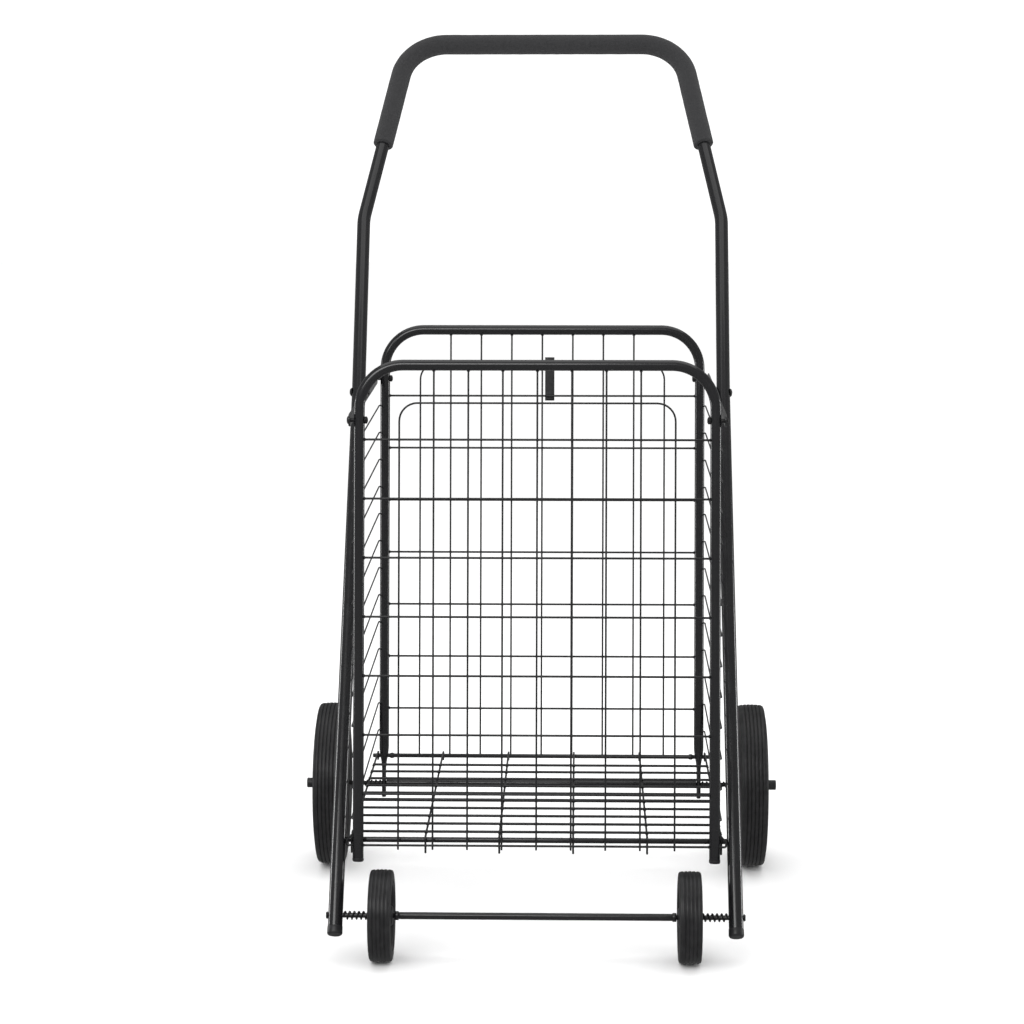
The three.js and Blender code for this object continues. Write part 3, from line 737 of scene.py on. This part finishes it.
def leg_bolt():
    """The bolt through a link and a handle leg, with a small inner head and a spacer between the two."""
    INNER_FACE = 204.7
    INNER_EDGE = 205
    INNER_BACK = 205.7
    SPACER_IN = 208
    SPACER_OUT = 209.5
    COLLAR = 4
    CHAMFERED = 3.6
    HEAD_GAP = 0.4
    shape = dome_bolt(INNER_EDGE, LEG_X + LEG_TUBE + HEAD_GAP, head=4.8, height=2.3)
    face = [(INNER_FACE, 0), (INNER_FACE, CHAMFERED)]
    edge = [(INNER_EDGE, COLLAR), (INNER_BACK, COLLAR), (INNER_BACK, 0)]
    turned(shape, face + edge, sides=24)
    spacer = [(SPACER_IN, 0), (SPACER_IN, COLLAR), (SPACER_OUT, COLLAR), (SPACER_OUT, 0)]
    turned(shape, spacer, sides=24)
    return shape


def bolts():
    """Four bolts at the links' ends and two where the handle's legs turn on the links."""
    for name, side in SIDES.items():
        for end, matrix in (("front", FRONT), ("rear", REAR)):
            shape = sided(link_bolt(), side, (0, 0, LINK_PIVOT))
            body = f"basket_{end}"
            shape.piece(f"{end}_link_bolt_{name}", matrix, STEEL, "dark_steel", body, f"{end}_bolt_{name}")
        shape = sided(leg_bolt(), side, (0, 0, LEG_PIVOT))
        shape.piece(f"leg_pivot_bolt_{name}", HANDLE, STEEL, "dark_steel", "handle", f"leg_bolt_{name}")


# ---- Links and side wires ----
def stadium(inset, steps=16):
    """A link's outline of two half circles and two straight edges, drawn in by an inset."""
    radius = LINK_WIDTH / 2 - inset
    points = []
    for end, start in ((0, -90), (-LINK_LENGTH, 90)):
        for i in range(steps + 1):
            angle = math.radians(start + 180 * i / steps)
            points.append((end + radius * math.cos(angle), radius * math.sin(angle)))
    return points


def link_layers():
    """Places through a link's thickness, with the inset of its outline at each, for round edges."""
    EDGE = 0.5
    EASE = 0.15
    half = LINK_THICK / 2
    near = [(-half, EDGE), (-half + EASE, EASE), (-half + EDGE, 0)]
    return near + [(-x, inset) for x, inset in reversed(near)]


def links():
    """The flat bars that join the front frame to the rear one on both sides."""
    matrix = tilted(fold_point, slope)
    for name, side in SIDES.items():
        shape = Shape()
        layers = [(side * LINK_X + x, stadium(inset)) for x, inset in link_layers()]
        shape.rings([[Vector((x, y, z)) for y, z in outline] for x, outline in layers])
        shape.piece(f"fold_link_{name}", matrix, PAINT, "frame_paint", "links", f"link_{name}")


def side_wires():
    """Rows of wires along both sides, each turning into the front and the rear leg."""
    INTO_LEG = 3
    BEND = 2.2
    for row in range(1, SIDE_ROWS + 1):
        body = f"side_row_{row:02d}"
        matrix = tilted(pivot(f"{body}_fold"), slope)
        for name, side in SIDES.items():
            shape = Shape()
            inside = side * (FRAME_X + INTO_LEG)
            out = side * SIDE_WIRE_X
            corners = [(inside, 0, 0), (out, 0, 0), (out, -LINK_LENGTH, 0), (inside, -LINK_LENGTH, 0)]
            wire(shape, corners, SIDE_WIRE, bend=BEND, ref=(0, 0, 1))
            number = f"{row:02d}_{name}"
            shape.piece(f"side_rail_{number}", matrix, WIRES, "wire_paint", body, f"side_wire_{number}")


# ---- Tray ----
def tray():
    """Long wires with an eye round the rear rod and a hook over the front rod, under welded cross wires."""
    BEND = 3.4
    BEAD = (1.9, 1.9, 1.2)
    EYE_GAP = 0.4
    HOOK_GAP = 0.3
    SUNK = 0.3
    shape = Shape()
    eye = REAR_ROD + WIRE + EYE_GAP
    over = FRONT_ROD + WIRE + HOOK_GAP
    reach = TRAY_REACH + over
    level = over + WIRE - SUNK
    xs = [(i - (TRAY_LONG_WIRES - 1) / 2) * TRAY_SPACING for i in range(TRAY_LONG_WIRES)]
    side_view = [(-eye, -eye), (eye, -eye), (eye, over), (-reach, over), (-reach, -HOOK_DROP)]
    for x in xs:
        wire(shape, [(x, y, z) for y, z in side_view], TRAY_LONG_WIRE, bend=BEND, ref=(1, 0, 0))
    for i in range(TRAY_CROSS_WIRES):
        y = -(TRAY_FIRST + i * TRAY_PITCH)
        thick = i == THICK_WIRE_AT
        radius = THICK_WIRE if thick else TRAY_WIRE
        end = THICK_WIRE_END if thick else xs[-1] + WIRE
        wire(shape, [(-end, y, level + radius), (end, y, level + radius)], radius, ref=(0, 0, 1), sides=16)
        for x in xs:
            blob(shape, (x, y, level), BEAD)
    shape.piece("wire_tray", TRAY, WIRES, "wire_paint", "tray", "tray")


# ---- Latch ----
def latch():
    """A strip with a long eye round the arch at its top; its foot turns in under the first rung."""
    X = 9.3
    WIDTH = 11.6
    THICK = 1.1
    EDGE = 0.35
    EYE = 2.5
    EYE_TOP = 7.2
    EYE_LIP = -2
    EYE_END = -9
    UNDER_RUNG = 4.5
    BEHIND = 0.9
    TOE_IN = 1.6
    TOE_DOWN = 0.9
    BENDS = [2.4, 2.4, 8, 0.5]
    foot = TOP_RUNG - ARCH_TOP - UNDER_RUNG
    back = CROSSING + WIRE + BEHIND
    eye = [(-EYE, EYE_LIP), (-EYE, EYE_TOP), (EYE, EYE_TOP), (back, EYE_END)]
    strip = [(back, foot), (back - TOE_IN, foot - TOE_DOWN)]
    knots = route([(X, y, z) for y, z in eye + strip], BENDS, steps=6)
    shape = Shape()
    sweep(shape, knots, rounded_box(THICK, WIDTH, EDGE), (1, 0, 0), rounding=0.2)
    matrix = REAR @ Matrix.Translation((0, 0, ARCH_TOP))
    shape.piece("latch_strip", matrix, TRIM, "trim_plastic", "latch", "latch")


# ---- Handle frame ----
def handle_corners(foot):
    """From a foot height over the top bar and down again; a foot above the bend leaves the legs out."""
    tilt = (LEG_BEND_X - HANDLE_TOP_X) / (HANDLE_TOP - LEG_BEND)
    if foot < LEG_BEND:
        left = [(-LEG_X, 0, foot), (-LEG_X, 0, LEG_PIVOT), (-LEG_BEND_X, 0, LEG_BEND)]
    else:
        left = [((foot - LEG_BEND) * tilt - LEG_BEND_X, 0, foot)]
    right = [(-x, y, z) for x, y, z in reversed(left)]
    return [*left, (-HANDLE_TOP_X, 0, HANDLE_TOP), (HANDLE_TOP_X, 0, HANDLE_TOP), *right]


def handle_frame():
    """The handle tube, with a plastic cap on each foot."""
    CAP_FACE = 7.4
    CAP = 8.4
    CAP_CHAMFER = 1.6
    CAP_TOP = 9
    CAP_BELOW = 2
    bends = [0, LEG_BEND_RADIUS, HANDLE_CORNER, HANDLE_CORNER, LEG_BEND_RADIUS, 0]
    shape = Shape()
    sweep(shape, route(handle_corners(LEG_FOOT), bends, steps=20), circle(LEG_TUBE, sides=36), (0, 1, 0))
    shape.piece("handle_tube", HANDLE, PAINT, "frame_paint", "handle", "handle_frame")
    outline = [(0, 0), (0, CAP_FACE), (CAP_CHAMFER, CAP), (CAP_TOP, CAP), (CAP_TOP, LEG_TUBE)]
    outline = softened(outline, radius=1) + [(CAP_TOP, 0)]
    for name, side in SIDES.items():
        cap = Shape()
        upright_turned(cap, outline, (side * LEG_X, 0, LEG_FOOT - CAP_BELOW))
        cap.piece(f"leg_end_{name}", HANDLE, TRIM, "trim_plastic", "handle", f"leg_cap_{name}")


def nearest_on(knots, point):
    """The route's knot that is nearest to a point."""
    return min((knot[0] for knot in knots), key=lambda at: (at - point).length_squared)


def grip():
    """The foam sleeve, a little uneven as foam is."""
    UNEVEN = 0.16
    BROAD = 0.09
    FINE = 0.31
    STEP = 3
    shape = Shape()
    knots = refined(route(handle_corners(GRIP_FOOT), HANDLE_CORNER, steps=24), STEP)
    sweep(shape, knots, circle(GRIP, sides=56), (0, 1, 0), rounding=1.6)
    moved = []
    for vert in shape.verts:
        wave = noise.noise(vert * BROAD) + noise.noise(vert * FINE) / 2
        out = (vert - nearest_on(knots, vert)).normalized()
        moved.append(vert + out * (wave * UNEVEN))
    shape.verts = moved
    shape.piece("foam_grip", HANDLE, FOAM, "grip_foam", "handle", "handle_grip")


def front_rod():
    """The rod between the legs that the tray hooks over, its ends inside the legs."""
    INTO_LEG = 2
    shape = Shape()
    end = LEG_X - LEG_TUBE + INTO_LEG
    local = HANDLE.inverted() @ (Vector((0, rod_point.y, rod_point.z)) * MM)
    outline = [(-end, 0), (-end, FRONT_ROD), (end, FRONT_ROD), (end, 0)]
    turned(shape, softened(outline, radius=0.6), sides=24, at=local)
    shape.piece("front_cross_rod", HANDLE, PAINT, "dark_steel", "handle", "front_rod")


# ---- Springs ----
def coil(shape, start, end, radius, thick, turns):
    """A coil spring along X."""
    STEPS_A_TURN = 24
    steps = int(turns * STEPS_A_TURN)
    rise = (end - start) / (2 * math.pi * turns)
    knots = []
    for i in range(steps + 1):
        t = i / steps
        angle = 2 * math.pi * turns * t
        y = radius * math.cos(angle)
        z = radius * math.sin(angle)
        knots.append((Vector((start + (end - start) * t, y, z)), Vector((rise, -z, y)).normalized()))
    sweep(shape, knots, circle(thick, sides=10), (1, 0, 0), rounding=thick / 2)


def springs():
    """A coil on the axle beside each wheel, between the wheel and the leg."""
    GAP = 1
    LEG_GAP = 3.8
    for name, side in SIDES.items():
        shape = Shape()
        start = side * (FRONT_OUT + GAP)
        end = side * (LEG_X - LEG_TUBE - GAP)
        coil(shape, start, end, radius=4.1, thick=0.85, turns=5.5)
        shape.piece(f"front_coil_{name}", FRONT_AXLE, STEEL, "dark_steel", "handle", f"front_spring_{name}")
        shape = Shape()
        start = side * (FRAME_X + LEG_GAP)
        end = side * (REAR_IN - GAP)
        coil(shape, start, end, radius=3.5, thick=0.65, turns=8)
        shape.piece(f"rear_coil_{name}", REAR_AXLE, STEEL, "dark_steel", "basket_rear", f"rear_spring_{name}")


# ---- Axles ----
def front_axle_bar():
    """The front bar: thick in the middle, a collar beside each wheel, thin in the wheels, riveted ends."""
    MIDDLE = 3.9
    MIDDLE_START = 140
    MIDDLE_END = 148
    NECK = 3.5
    NECK_START = 148.4
    COLLAR = 4.9
    COLLAR_START = 149
    COLLAR_EDGE = 152.4
    COLLAR_END = 153.2
    COLLAR_FACE = 4.3
    RIVET = 4.2
    RIVET_FACE = 3.4
    RIVET_HEIGHT = 2
    LEG_GAP = 0.3
    end = LEG_X + LEG_TUBE + LEG_GAP
    middle = [(MIDDLE_START, MIDDLE), (MIDDLE_END, MIDDLE), (NECK_START, NECK)]
    collar = [(COLLAR_START, COLLAR), (COLLAR_EDGE, COLLAR), (COLLAR_END, COLLAR_FACE), (COLLAR_END, AXLE)]
    rivet = [(end, AXLE), (end, RIVET), (end + RIVET_HEIGHT, RIVET_FACE), (end + RIVET_HEIGHT, 0)]
    shape = Shape()
    turned(shape, both_halves(softened(middle + collar + rivet, radius=0.4)), sides=32)
    shape.piece("front_axle_bar", FRONT_AXLE, PAINT, "dark_steel", "handle", "front_axle")


def rear_axle_bar():
    """The plain rear bar through the sleeve, the legs and both large wheels."""
    outline = [(-REAR_AXLE_END, 0), (-REAR_AXLE_END, AXLE), (REAR_AXLE_END, AXLE), (REAR_AXLE_END, 0)]
    shape = Shape()
    turned(shape, softened(outline, radius=0.6), sides=24)
    shape.piece("rear_axle_bar", REAR_AXLE, STEEL, "dark_steel", "basket_rear", "rear_axle")


def rear_axle_tube():
    """The painted sleeve round the rear axle, between the legs."""
    SLEEVE = 4.4
    LEG_GAP = 3
    reach = FRAME_X - LEG_GAP
    outline = [(-reach, AXLE), (-reach, SLEEVE), (reach, SLEEVE), (reach, AXLE)]
    shape = Shape()
    turned(shape, softened(outline, radius=0.5), sides=32, closed=True)
    shape.piece("rear_axle_tube", REAR_AXLE, PAINT, "frame_paint", "basket_rear", "rear_sleeve")


def axle_caps():
    """A push-on cap with a flange on each end of the rear axle."""
    FLANGE = 7.2
    FLANGE_THICK = 2
    FLANGE_EDGE = 2.6
    CAP = 6.1
    FACE = 5.4
    CHAMFER = 0.6
    WHEEL_GAP = 1.5
    start = REAR_OUT + WHEEL_GAP
    flange = [(start, 0), (start, FLANGE), (start + FLANGE_THICK, FLANGE), (start + FLANGE_EDGE, CAP)]
    face = [(CAP_END - CHAMFER, CAP), (CAP_END, FACE), (CAP_END, 0)]
    outline = softened(flange + face, radius=0.4)
    for name, side in SIDES.items():
        shape = Shape()
        turned(shape, mirror(outline, side), sides=32)
        shape.piece(f"axle_cap_{name}", REAR_AXLE, TRIM, "trim_plastic", "basket_rear", f"rear_cap_{name}")


# ---- Wheels ----
def ribbed(low, high, radius, ribs, depth, crown):
    """A tread across the wheel: flat ribs with rounded shoulders between narrow grooves."""
    GROOVE = 0.55
    SHOULDER = [(0, depth), (0.35, 0.3), (0.9, 0)]
    width = (high - low) / ribs
    rise = [(GROOVE + along, drop) for along, drop in SHOULDER]
    fall = [(width - along, drop) for along, drop in reversed(SHOULDER)]
    points = []
    for i in range(ribs):
        for along, drop in rise + fall:
            x = low + i * width + along
            off = 2 * (x - low) / (high - low) - 1
            points.append((x, radius - crown * off * off - drop))
    return points[1:-1]


def rear_tyre(side):
    """A solid tyre: seat, bulging sidewall with a groove, shoulder and tread."""
    SHOULDER = 3.2
    CLEAR = 0.02
    seat = [(3, RIM), (0.6, RIM + 2.5)]
    wall = [(0, RIM + 6), (0.1, RIM + 10), (0.9, RIM + 10.6), (0.6, RIM + 11.4)]
    shoulder = [(1.2, RIM + 16.6), (2.2, RIM + 18.2)]
    low = REAR_IN + SHOULDER
    high = REAR_OUT - SHOULDER
    tread = ribbed(low, high, REAR_RADIUS - CLEAR, ribs=6, depth=1.5, crown=1)
    outline = across_wheel(REAR_IN, REAR_OUT, seat + wall + shoulder, tread)
    shape = Shape()
    turned(shape, mirror(outline, side), sides=144, closed=True)
    return shape


def rear_hub(side):
    """Rim, boss and six spokes."""
    SPOKES = 6
    SEAT_IN = 6
    seat = RIM - 0.2
    shape = Shape()
    flange = [(4, RIM - 1), (3.5, RIM - 4), (5, RIM - 7), (10, RIM - 7.6)]
    rim = across_wheel(REAR_IN, REAR_OUT, flange)
    rim += [(REAR_OUT - SEAT_IN, seat), (REAR_IN + SEAT_IN, seat)]
    turned(shape, mirror(rim, side), sides=96, closed=True)
    boss = across_wheel(REAR_IN, REAR_OUT, [(1, BORE), (1, 10), (3, 13), (9, 15)])
    turned(shape, mirror(boss, side), sides=64, closed=True)
    for i in range(SPOKES):
        spoke(shape, side * (REAR_IN + REAR_OUT) / 2, 2 * math.pi * i / SPOKES)
    return shape


def spoke(shape, x, angle):
    """One spoke: a flat bar that widens to the boss and to the rim, with a raised rib on each face.

    WIDTHS gives the bar's width factor at each place along the spoke, from 0 at the boss to 1 at the rim.
    """
    LOW = 12
    HIGH = RIM - 6
    WIDTHS = {0: 1.5, 0.12: 1.25, 0.3: 1.0, 0.6: 0.95, 0.85: 1.1, 0.95: 1.4, 1: 1.7}
    BAR = rounded_box(width=6, height=11, corner=1.4)
    RIB = rounded_box(width=10, height=3, corner=1)
    turn = Matrix.Rotation(angle, 3, "X")
    out = turn @ Vector((0, 0, 1))
    ref = turn @ Vector((0, 1, 0))
    knots = [(turn @ Vector((0, 0, LOW + (HIGH - LOW) * place)) + Vector((x, 0, 0)), out) for place in WIDTHS]
    sweep(shape, knots, BAR, ref, scales=[(1, width) for width in WIDTHS.values()])
    sweep(shape, knots[1:-1], RIB, ref)


def front_wheel(side):
    """A small wheel in one piece: boss, dished face, rounded flange, a groove, sidewall and tread."""
    SHOULDER = 1.8
    CLEAR = 0.02
    boss = [(0, BORE), (0, 9), (1, 10.5)]
    dish = [(6, 12.5), (7, 15), (7, 30), (6, 32.5)]
    flange = [(1.2, 34), (0.4, 35.5), (1.4, 37), (1.4, 38.2)]
    wall = [(0, 39.4), (0.3, 47.4), (1.2, 49)]
    low = FRONT_IN + SHOULDER
    high = FRONT_OUT - SHOULDER
    tread = ribbed(low, high, FRONT_RADIUS - CLEAR, ribs=5, depth=0.8, crown=0.5)
    outline = across_wheel(FRONT_IN, FRONT_OUT, boss + dish + flange + wall, tread)
    shape = Shape()
    turned(shape, mirror(outline, side), sides=128, closed=True)
    return shape


def wheels():
    """Two large wheels, each of a tyre and a hub, and two small ones in one piece."""
    for name, side in SIDES.items():
        body = f"rear_wheel_{name}"
        rear_tyre(side).piece(f"tyre_{name}", REAR_AXLE, TYRE, "tyre", body, f"rear_tyre_{name}")
        rear_hub(side).piece(f"hub_{name}", REAR_AXLE, WHEEL, "wheel_plastic", body, f"rear_hub_{name}")
        body = f"front_wheel_{name}"
        front_wheel(side).piece(f"small_wheel_{name}", FRONT_AXLE, WHEEL, "wheel_plastic", body, body)


front_frame()
rear_frame()
panels()
bolts()
links()
side_wires()
tray()
latch()
handle_frame()
grip()
front_rod()
springs()
front_axle_bar()
rear_axle_bar()
rear_axle_tube()
axle_caps()
wheels()


# ---- Camera, floor and light, in metres ----
def camera():
    """A long lens in front of the trolley, looking slightly down."""
    AT = (0.045, -3.122, 0.829)
    PITCH = 6.78
    YAW = 1.427
    LENS = 93.8
    SENSOR = 36
    data = bpy.data.cameras.new("camera")
    data.lens = LENS
    data.sensor_width = SENSOR
    made = bpy.data.objects.new("camera", data)
    made.location = AT
    made.rotation_euler = (math.radians(90 - PITCH), 0, math.radians(YAW))
    bpy.context.scene.collection.objects.link(made)
    bpy.context.scene.camera = made


def floor():
    """A plain pale floor that the glossy tubes don't mirror."""
    SIZE = 30
    PALE = (0.93, 0.93, 0.93)
    mesh = bpy.data.meshes.new("floor")
    corners = [(-SIZE, -SIZE, 0), (SIZE, -SIZE, 0), (SIZE, SIZE, 0), (-SIZE, SIZE, 0)]
    mesh.from_pydata(corners, [], [(0, 1, 2, 3)])
    made = bpy.data.objects.new("floor", mesh)
    mesh.materials.append(material("pale_floor", PALE, roughness=0.9))
    bpy.context.scene.collection.objects.link(made)
    made.visible_glossy = False


def area_light(name, at, target, width, height, power):
    """A soft rectangular light turned to a target."""
    data = bpy.data.lights.new(name, "AREA")
    data.shape = "RECTANGLE"
    data.size = width
    data.size_y = height
    data.energy = power
    made = bpy.data.objects.new(name, data)
    made.location = at
    made.rotation_euler = (Vector(target) - Vector(at)).to_track_quat("-Z", "Y").to_euler()
    bpy.context.scene.collection.objects.link(made)


def studio_lights():
    """A wide light in front and above, one overhead, and a strip low on each side for the tubes' edges."""
    STRIP_X = 2.3
    area_light("front_softbox", (-1.0, -2.8, 2.4), (0, 0, 0.5), width=2.4, height=1.2, power=32)
    for name, side in SIDES.items():
        at = (side * STRIP_X, 0.7, 0.5)
        area_light(f"{name}_strip", at, (0, -0.1, 0.4), width=0.3, height=1.0, power=7)
    area_light("top_softbox", (0, 0.35, 3.2), (0, 0, 0.4), width=3.4, height=3.2, power=25)


def world():
    """A bright white studio all round, with darker walls for the glossy tubes to mirror."""
    WHITE = 1.18
    MIRRORED = 0.2
    made = bpy.data.worlds.new("studio")
    made.use_nodes = True
    tree = made.node_tree
    background = tree.nodes["Background"]
    background.inputs["Color"].default_value = (1, 1, 1, 1)
    path = tree.nodes.new("ShaderNodeLightPath")
    level = tree.nodes.new("ShaderNodeMapRange")
    level.inputs["To Min"].default_value = WHITE
    level.inputs["To Max"].default_value = MIRRORED
    tree.links.new(path.outputs["Is Glossy Ray"], level.inputs["Value"])
    tree.links.new(level.outputs["Result"], background.inputs["Strength"])
    bpy.context.scene.world = made


camera()
floor()
world()
studio_lights()
bpy.context.scene.view_settings.view_transform = "Standard"

bpy.context.view_layer.update()
